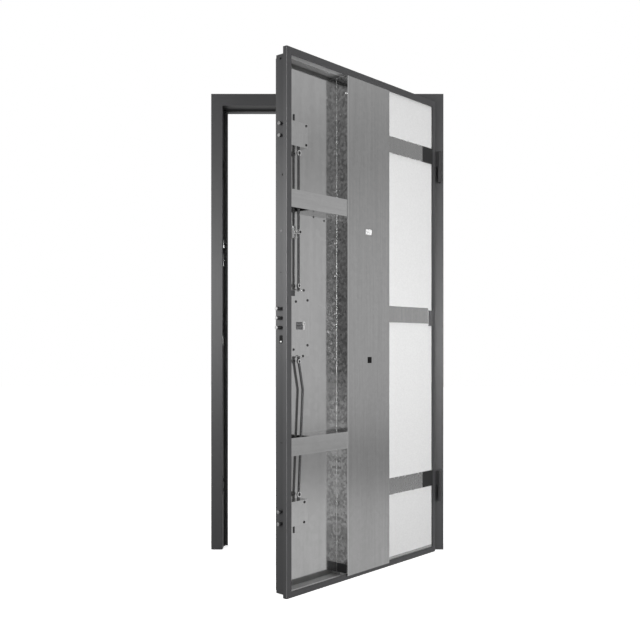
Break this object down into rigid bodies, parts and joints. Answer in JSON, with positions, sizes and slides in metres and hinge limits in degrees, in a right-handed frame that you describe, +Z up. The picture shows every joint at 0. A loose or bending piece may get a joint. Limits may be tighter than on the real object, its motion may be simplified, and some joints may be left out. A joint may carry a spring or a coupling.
{
  "type": "security front door set",
  "caption": "Metal front door set: folded anthracite frame with a hinged security leaf standing open, inner face bare to show bars, rod-driven lock bolts and white filling.",
  "frame": {"origin": "on the wall face of the hinge jamb, at mid depth of the frame, at floor level", "axes": "+X out of the hinge jamb towards its wall, +Y from the room side to the outer side, +Z up"},
  "size_m": [1.05, 0.861, 2.06],
  "materials": {
    "frame_paint": "satin anthracite powder coat",
    "exterior_aluminium": "satin anthracite coated sheet",
    "seal_rubber": "matte extruded seal",
    "galvanised": "galvanised sheet",
    "lock_zinc": "bright zinc plate",
    "black_bracket": "black lacquer",
    "bolt_steel": "nickel plate",
    "rod_steel": "dark oxidised steel",
    "insulation_board": "white foam board"
  },
  "bodies": {
    "frame": {"lock_jamb": "frame_paint", "hinge_jamb": "frame_paint", "head": "frame_paint", "stop_seal": "seal_rubber", "upper_frame_hinge": "black_bracket", "lower_frame_hinge": "black_bracket", "upper_strike": "black_bracket", "limiter_strike": "black_bracket", "lock_strike": "black_bracket", "lower_strike": "black_bracket"},
    "leaf": {"lock_stile": "frame_paint", "hinge_stile": "frame_paint", "top_rail": "frame_paint", "bottom_rail": "frame_paint", "back_sheet": "galvanised", "exterior_panel": "exterior_aluminium", "centre_panel": "galvanised", "spindle_insert": "black_bracket", "insulation": "insulation_board", "filling_ledge": "galvanised", "stiffener_rib": "galvanised", "lock_case": "lock_zinc", "lock_cylinder": "bolt_steel", "upper_deviator": "lock_zinc", "lower_deviator": "lock_zinc", "rod_guide": "lock_zinc", "upper_leaf_hinge": "black_bracket", "lower_leaf_hinge": "black_bracket", "upper_lock_bar": "galvanised", "lower_lock_bar": "galvanised", "upper_hinge_bar": "galvanised", "middle_hinge_bar": "galvanised", "lower_hinge_bar": "galvanised", "upper_hinge_bracket": "black_bracket", "middle_hinge_bracket": "frame_paint", "lower_hinge_bracket": "black_bracket"},
    "lock_bolts": {"lock_bolts": "bolt_steel"},
    "upper_bolts": {"upper_bolts": "bolt_steel"},
    "lower_bolts": {"lower_bolts": "bolt_steel"},
    "upper_rod": {"upper_rod": "rod_steel"},
    "lower_rod": {"lower_rod": "rod_steel"}
  },
  "joints": [
    {"name": "leaf_swing", "type": "hinge", "parent": "frame", "child": "leaf", "pos_m": [-0.021, -0.077, 0], "axis": [0, 0, 1], "range_deg": [-49.2, 65.8]},
    {"name": "lock_bolt_throw", "type": "slide", "parent": "leaf", "child": "lock_bolts", "axis": [-0.6534, -0.757, 0], "range_m": [-0.024, 0]},
    {"name": "upper_bolt_throw", "type": "slide", "parent": "leaf", "child": "upper_bolts", "axis": [-0.6534, -0.757, 0], "range_m": [-0.01, 0]},
    {"name": "lower_bolt_throw", "type": "slide", "parent": "leaf", "child": "lower_bolts", "axis": [-0.6534, -0.757, 0], "range_m": [-0.015, 0]},
    {"name": "upper_rod_slide", "type": "slide", "parent": "leaf", "child": "upper_rod", "axis": [0, 0, 1], "range_m": [-0.01, 0]},
    {"name": "lower_rod_slide", "type": "slide", "parent": "leaf", "child": "lower_rod", "axis": [0, 0, -1], "range_m": [-0.01, 0]}
  ],
  "couplings": [
    {"joint": "upper_bolt_throw", "follows": "lock_bolt_throw", "ratio": 0.41666},
    {"joint": "lower_bolt_throw", "follows": "lock_bolt_throw", "ratio": 0.625},
    {"joint": "upper_rod_slide", "follows": "lock_bolt_throw", "ratio": 0.41666},
    {"joint": "lower_rod_slide", "follows": "lock_bolt_throw", "ratio": 0.41666}
  ]
}
